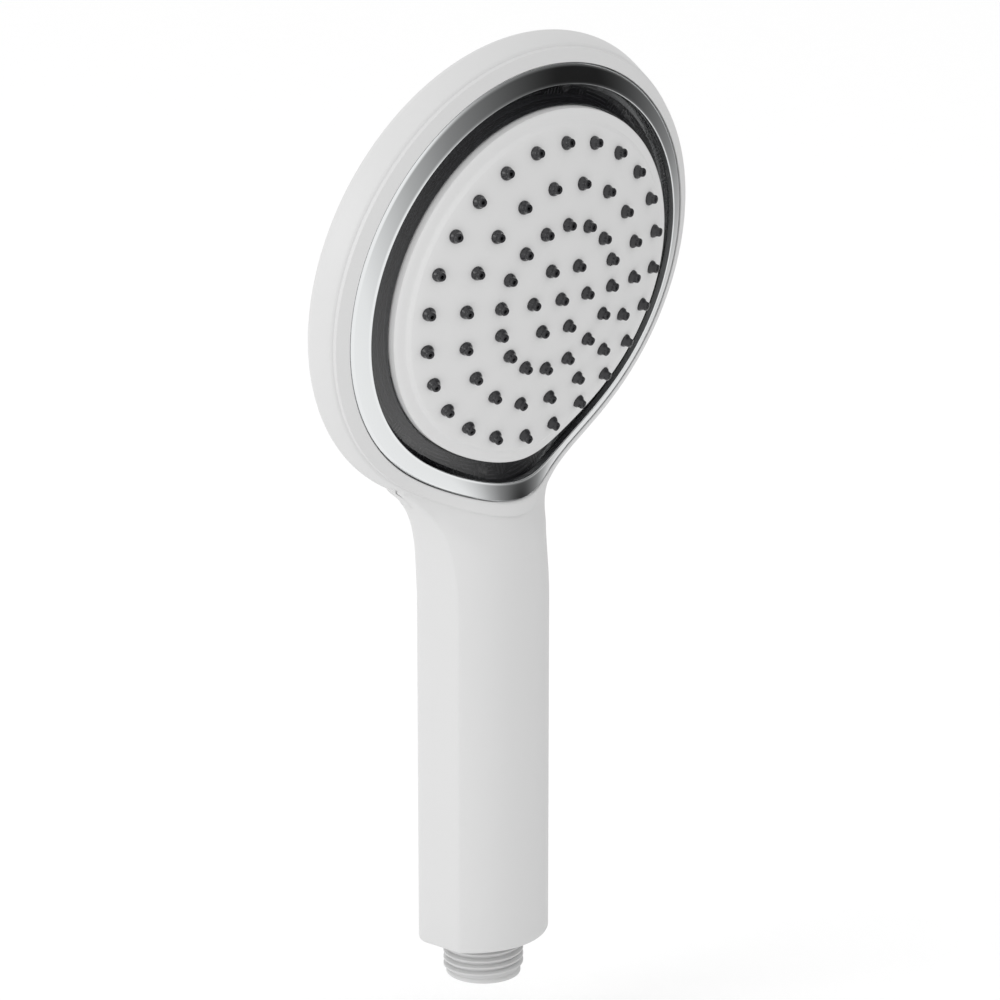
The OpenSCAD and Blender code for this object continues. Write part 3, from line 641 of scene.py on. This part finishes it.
def strandEnd(place):
    # height at which one lengthwise line of the handle ends inside the head
    s = shellSizes
    x, y = place
    reach = s["bandInner"] + s["seamInset"]
    u = -math.sqrt(reach ** 2 - min(abs(x), s["seamHalf"]) ** 2)
    depth = faceDepth(reach) - faceRise(np.array([x]), np.array([u]))[0]
    front = (crown / mm + across * x + upward * u - outward * depth).z
    flank = softStep(y, *s["flankSide"])
    return front * (1 - flank) + (s["flankEnd"] + s["rearRise"] * softStep(y, *s["rearSide"])) * flank


def joinHead(points, last):
    # the front runs into the face's own surface; flanks and back run softly into the head's skin
    s = shellSizes
    x, u, depth = splitPoints(points)
    back = points[:, 1] / mm
    radius = np.hypot(x, u)
    sphere = np.array([faceDepth(min(r, s["gripReach"])) for r in radius])
    edge = softStep(radius, *s["bandFade"]) * s["edgeDrop"] * s["bandDropShare"]
    surface = sphere + edge - faceRise(x, u) + np.where(last, s["frontTuck"], -s["frontLift"])
    frontness = 1 - softStep(back, *s["frontSide"])
    follow = frontness * (1 - softStep(radius, *s["frontReach"]))
    moved = points - np.array(outward)[None] * ((surface - depth) * follow * mm)[:, None]
    gap, away = headSide(points)
    soft = s["landing"] * softStep(back, *s["backSide"]) + s["flankLanding"]
    step = gap + s["skinSink"]
    bend = (step + soft) ** 2 / (4 * soft)
    eased = np.where(step < -soft, step + soft, np.where(step > soft, step, bend)) - s["skinSink"]
    return moved + away * ((eased - gap) * (1 - frontness) * mm)[:, None]


def handleLow():
    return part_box("housing")[0].z / mm - shellSizes["lowEnd"]


def makeHandle():
    s = shellSizes
    low = handleLow()
    sections = [(low + rise, inset) for rise, inset in s["footRound"]] + [(z, 0) for z in s["gripHeights"]]
    around = len(gripSection(low))
    startPiece()
    bpy.ops.mesh.primitive_circle_add(vertices=around, radius=s["gripHalf"] * mm, fill_type="NOTHING")
    piece = bpy.context.object
    edit(piece)
    for _ in range(s["levels"] + len(sections)):
        bpy.ops.mesh.extrude_region_move(TRANSFORM_OT_translate={"value": (0, 0, 2 * mm)})
    done()
    rings = []
    for height, inset in sections:
        flat = np.array([list(p) for p in gripSection(height)])
        flat *= (1 - inset / np.linalg.norm(flat, axis=1))[:, None]
        rings.append(np.column_stack([flat, np.full(len(flat), height)]))
    ends = np.array([strandEnd(p) for p in gripSection(s["sweepEnd"])])
    for level in range(s["levels"] + 1):
        heights = s["loftStart"] + (ends - s["loftStart"]) * (level / s["levels"])
        rings.append(np.array([[*gripSection(z)[k], z] for k, z in enumerate(heights)]))
    points = np.concatenate(rings) * mm
    near = points[:, 2] > s["joinStart"] * mm
    last = np.zeros(len(points), bool)
    last[-2 * around:] = True
    points[near] = joinHead(points[near], last[near])
    piece.data.vertices.foreach_set("co", points.ravel())
    piece.data.update()
    pick(piece, lambda co: co.z < (low + 0.1) * mm)
    for lift in (0, s["boreDepth"]):
        bpy.ops.mesh.extrude_region_move(TRANSFORM_OT_translate={"value": (0, 0, lift * mm)})
        done()
        for vertex in [v for v in piece.data.vertices if v.select]:
            place = Vector((vertex.co.x, vertex.co.y, 0)).normalized() * s["boreRadius"] * mm
            vertex.co = (place.x, place.y, (low + lift) * mm)
        bpy.ops.object.mode_set(mode="EDIT")
    done()
    cleanUp(piece)
    turnOutwards(piece, Vector((0, 0, 60 * mm)))
    applyModifier(piece, "SOLIDIFY", thickness=s["skin"] * mm, offset=-1, use_even_offset=False)
    return piece


def makeShell():
    s = shellSizes
    inner = [(0.0, s["headDepth"] - s["wall"])]
    for radius in (12, 24, 36, 46, 53, s["bandInner"]):
        inner.append((radius, backMiddle + math.sqrt((backRadius - s["wall"]) ** 2 - radius ** 2)))
    inner.append((s["bandInner"], faceDepth(s["bandInner"]) + s["bandSoft"]))
    bowl = spinRing(inner + outline, 240)
    handle = makeHandle()
    joinPieces(bowl, handle)
    dress(bowl, "shell_moulding", "white_shell", "shell", ["housing"], 40)


makeShell()


# front trim ring
trimSizes = {  # millimetres
    "inner": 51.45,
    "outer": 56.15,
    "sink": 0.4,          # behind the face sphere
    "edgeSoft": 0.3,
    "step": 53.35,        # seat of the smoked ring
    "wallInner": 54.05,
    "rear": 17.297,
    "lip": 2.2,
    "seat": 3.8,
}


def makeTrim():
    t = trimSizes
    soft = t["edgeSoft"]
    front = [(r, faceDepth(r) + t["sink"]) for r in np.linspace(t["inner"] + soft, t["outer"] - soft, 9)]
    outer = (t["outer"] - soft, faceDepth(t["outer"]) + t["sink"] + soft)
    inner = (t["inner"] + soft, faceDepth(t["inner"]) + t["sink"] + soft)
    seat = faceDepth(t["step"]) + t["seat"]
    profile = [(t["inner"], faceDepth(t["inner"]) + t["lip"])] + arcPoints(inner, soft, 180, 110, 4)
    profile += front + arcPoints(outer, soft, 70, 0, 4)
    profile += [(t["outer"], t["rear"]), (t["wallInner"], t["rear"]), (t["wallInner"], seat),
                (t["step"], seat), (t["step"], faceDepth(t["step"]) + t["lip"] - 0.05)]
    dress(spinRing(profile, 240), "trim_ring", "bright_trim", "shell", ["chrome_ring"], 40)


makeTrim()


# smoked ring
lensSizes = {  # millimetres
    "inner": 46.35,
    "outer": 53.25,
    "sink": 2.3,
    "thickness": 1.45,
    "edgeSoft": 0.35,
}


def makeLens():
    t = lensSizes
    soft = t["edgeSoft"]
    inner = (t["inner"] + soft, faceDepth(t["inner"]) + t["sink"] + soft)
    front = [(r, faceDepth(r) + t["sink"]) for r in np.linspace(t["inner"] + soft, t["outer"], 9)]
    back = [(r, faceDepth(r) + t["sink"] + t["thickness"]) for r in np.linspace(t["outer"], t["inner"], 9)]
    dress(spinRing(arcPoints(inner, soft, 180, 100, 5) + front + back, 240),
          "smoked_ring", "smoked_lens", "shell", ["lens_ring"], 40)


makeLens()


# spray plate
plateSizes = {  # millimetres
    "dome": 42.95,
    "outer": 46.15,
    "stepInset": 0.6,     # the soft step down to the border starts this far inside the dome's edge
    "stepWidth": 1.3,
    "borderStart": 1.1,   # the border's first ring outside the dome's edge
    "borderSink": 0.6,
    "edgeSoft": 0.35,
    "wallDepth": 2.9,
    "wall": 1.8,
    "thickness": 2.0,
}


def makePlate():
    t = plateSizes
    soft = t["edgeSoft"]
    edge = (t["outer"] - soft, faceDepth(t["outer"]) + t["borderSink"] + soft)
    top = t["dome"] - t["stepInset"]
    profile = [(r, faceDepth(r)) for r in np.linspace(0, top, 22)]
    for k in range(1, 9):
        radius = top + t["stepWidth"] * k / 8
        profile.append((radius, faceDepth(radius) + t["borderSink"] * softStep(k, 0, 8)))
    border = np.linspace(t["dome"] + t["borderStart"], t["outer"] - soft, 4)
    profile += [(r, faceDepth(r) + t["borderSink"]) for r in border]
    profile += arcPoints(edge, soft, 70, 0, 4)
    rear = faceDepth(t["outer"]) + t["wallDepth"]
    inside = t["outer"] - t["wall"]
    profile += [(t["outer"], rear), (inside, rear)]
    profile += [(r, faceDepth(r) + t["thickness"]) for r in np.linspace(inside, 0, 12)]
    dress(spinRing(profile, 220), "plate", "white_plate", "shell", ["spray_plate"], 40)


makePlate()


# spray nozzles
nozzleSizes = {  # millimetres
    "rings": [(0, 1), (9.25, 6), (19.05, 16), (28.85, 18), (38.65, 24)],
    "collar": 1.75,
    "tip": 1.15,
    "height": 2.15,
    "bore": 0.45,
    "boreFloor": 0.9,
    "foot": -0.8,         # how far a nozzle reaches under the plate's face
}


def makeNozzles():
    t = nozzleSizes
    collar, tip, height, bore = t["collar"], t["tip"], t["height"], t["bore"]
    foot = t["foot"]
    skirt = [(0, foot), (collar, foot), (collar, 0.25), (collar - 0.12, 0.62), (collar - 0.42, 0.92)]
    neck = [(tip + 0.1, 1.12), (tip, 1.35), (tip, height - 0.3), (tip - 0.1, height - 0.08)]
    mouth = [(tip - 0.3, height), (bore + 0.08, height), (bore, height - 0.1), (bore, t["boreFloor"]),
             (0, t["boreFloor"])]
    model = spinUpright(skirt + neck + mouth)
    middle = crown - outward * shellSizes["faceRadius"] * mm
    places = []
    for radius, count in t["rings"]:
        for turn in range(count):
            point = headPoint(radius * mm, faceDepth(radius) * mm, 360 * turn / count)
            places.append((point, (point - middle).normalized()))
    piece = copyTo(model, places)
    raiseFace(piece)
    dress(piece, "nozzles", "nozzle_rubber", "shell", ["nozzle_mat"], 50)


makeNozzles()


# lit board and its lamps
boardSizes = {  # millimetres
    "inner": 47.65,
    "outer": 53.45,
    "front": 16.397,
    "thickness": 0.9,
    "lampRing": 49.55,
    "lampPhase": 22,
    "lamps": 12,
    "lampRadius": 1.4,
    "lampHeight": 1.5,
}


def makeBoard():
    t = boardSizes
    rear = t["front"] + t["thickness"]
    profile = [(r, t["front"]) for r in np.linspace(t["inner"], t["outer"], 5)]
    profile += [(t["outer"], rear), (t["inner"], rear)]
    dress(spinRing(profile, 180), "lit_board", "circuit_board", "shell", ["led_board"], 40)
    size, high = t["lampRadius"], t["lampHeight"]
    dome = high - size * 0.55
    lamp = [(0, 0), (size, 0), (size, dome)]
    for angle in np.radians([15, 30, 45, 60, 75, 90]):
        lamp.append((size * math.cos(angle), dome + (high - dome) * math.sin(angle)))
    model = spinUpright(lamp)
    turns = [t["lampPhase"] + 360 * k / t["lamps"] for k in range(t["lamps"])]
    piece = copyTo(model, [(headPoint(t["lampRing"] * mm, t["front"] * mm, a), outward) for a in turns])
    raiseFace(piece)
    dress(piece, "lamps", "led_lens", "shell", ["leds"], 50)


makeBoard()


# threaded stub
threadSizes = {  # millimetres
    "crest": 10.4775,
    "root": 9.3155,
    "pitch": 1.814,
    "land": 0.42,         # flat width of a crest
    "first": 0.7,         # height of the thread's lower end
    "last": 12.6,
    "sunk": 0.4,          # how far the tooth's foot lies under the root
    "runOut": 0.12,       # turns over which the thread fades at either end
    "endShare": 0.25,     # what is left of its height at the very end
    "stepsPerTurn": 80,
    "lip": 9.78,
    "bore": 7.9,
    "boreDepth": 8.0,
    "plug": 11.5,
    "plugGap": 1.2,       # from the handle's lower end to the plug's shoulder
    "plugTop": 34.0,
}


def makeThread():
    t = threadSizes
    root, crest, pitch, land = t["root"], t["crest"], t["pitch"], t["land"]
    low = handleLow()
    # the stub itself, with its bore, lip and the plug inside the handle
    bore, lip, plug = t["bore"], t["lip"], t["plug"]
    mouth = [(0, t["boreDepth"]), (bore, t["boreDepth"]), (bore, 0.25), (bore + 0.25, 0)]
    rim = [(lip - 0.35, 0), (lip - 0.08, 0.15), (lip, 0.4), (lip, 0.75), (lip - 0.1, 0.95), (root, 1.3)]
    shoulder = low + t["plugGap"]
    top = [(root, shoulder), (plug, shoulder), (plug, t["plugTop"]), (0, t["plugTop"])]
    body = spinUpright(mouth + rim + top, 96)
    # the thread: one tooth carried up a helix, both ends running out into the stub
    sunk = root - t["sunk"]
    flank = (pitch - land) / 2 - 0.2
    tooth = [(sunk, 0.1), (root - 0.05, 0.15), (crest - 0.12, 0.2 + flank - 0.1), (crest, 0.2 + flank),
             (crest, 0.2 + flank + land), (crest - 0.12, 0.3 + flank + land), (root - 0.05, pitch - 0.15),
             (sunk, pitch - 0.1)]
    startPiece()
    bpy.ops.mesh.primitive_circle_add(vertices=len(tooth), radius=mm, fill_type="NOTHING")
    ridge = bpy.context.object
    for vertex, (radius, height) in zip(ridge.data.vertices, tooth):
        vertex.co = (radius * mm, 0, (height + t["first"]) * mm)
    turns = (t["last"] - t["first"]) / pitch - 1
    steps = int(t["stepsPerTurn"] * turns)
    applyModifier(ridge, "SCREW", angle=2 * math.pi * turns, screw_offset=pitch * turns * mm, iterations=1,
                  steps=steps, render_steps=steps)
    edit(ridge)
    bpy.ops.mesh.fill_holes(sides=0)
    done()
    for vertex in ridge.data.vertices:
        part = (math.atan2(vertex.co.y, vertex.co.x) / (2 * math.pi)) % 1
        if part > 0.9999:
            part = 0
        turn = math.floor((vertex.co.z / mm - t["first"]) / pitch - part) + part
        height = softStep(min(turn, turns - turn) / t["runOut"], 0, 1)
        flat = Vector((vertex.co.x, vertex.co.y))
        radius = sunk + (flat.length / mm - sunk) * (t["endShare"] + (1 - t["endShare"]) * height)
        flat = flat.normalized() * radius * mm
        vertex.co.x, vertex.co.y = flat
    cleanUp(ridge)
    joinPieces(body, ridge)
    dress(body, "thread_stub", "white_thread", "shell", ["inlet_connector"], 35)


makeThread()


# floor, world and lights
studio = {
    "floorDrop": 0.02,
    "floorSize": 8.0,
    "floorTone": 0.99,
    "worldTone": 1.0,
    "exposure": 0.0,
    "darkSide": (0.78, -0.61, 0.10),
    "darkTones": [(0.0, 1.0), (0.2, 1.0), (0.36, 0.92), (0.45, 0.74), (0.6, 0.45), (0.746, 0.25),
                  (0.86, 0.15), (0.95, 0.06), (0.99, 0.015)],  # tone against the cosine from the dark side
    "keyPlace": (-2.0, 0.35, 0.75),
    "keyAim": (0, 0, 0.13),
    "keySize": (1.1, 1.1),
    "keyWatts": 10,
}


def makeFloor():
    startPiece()
    bpy.ops.mesh.primitive_plane_add(size=studio["floorSize"], location=(0, 0, -studio["floorDrop"]))
    floor = bpy.context.object
    floor.name = "floor"
    material, tree, shader = newMaterial("floorPaper", {"Specular IOR Level": 0.1})
    speckle = noise(tree, objectPlace(tree), 60, 3)
    tone = mixColour(tree, speckle, grey(studio["floorTone"]), grey(studio["floorTone"] - 0.01))
    feed(tree, shader, Base_Color=tone, Roughness=0.85 + speckle * 0.05)
    floor.data.materials.append(material)
    floor.visible_glossy = False


def makeWorld():
    # an even white studio; mirror-like surfaces also see one dark side of the room
    world = bpy.data.worlds.new("studio")
    bpy.context.scene.world = world
    world.use_nodes = True
    tree = world.node_tree
    room = tree.nodes["Background"]
    direction = addNode(tree, "ShaderNodeTexCoord", output="Generated")
    toward = vectorMath(tree, "DOT_PRODUCT", direction, tuple(Vector(studio["darkSide"]).normalized()), 1)
    tone = addNode(tree, "ShaderNodeValToRGB", {"stops": studio["darkTones"]}, {"Fac": toward})
    mirror = addNode(tree, "ShaderNodeLightPath", output="Is Glossy Ray")
    tree.links.new(mixColour(tree, mirror, grey(1), tone).socket, room.inputs["Color"])
    room.inputs["Strength"].default_value = studio["worldTone"]


def makeLight(name, place, aim, size, watts):
    bpy.ops.object.light_add(type="AREA", location=place)
    light = bpy.context.object
    light.name = name
    light.data.shape = "RECTANGLE"
    light.data.size, light.data.size_y = size
    light.data.energy = watts
    light.rotation_mode = "QUATERNION"
    light.rotation_quaternion = (Vector(aim) - Vector(place)).to_track_quat("-Z", "Y")


makeFloor()
makeWorld()
makeLight("keyLight", studio["keyPlace"], studio["keyAim"], studio["keySize"], studio["keyWatts"])
bpy.context.scene.view_settings.view_transform = "Standard"
bpy.context.scene.view_settings.exposure = studio["exposure"]
print("stage and lights made")
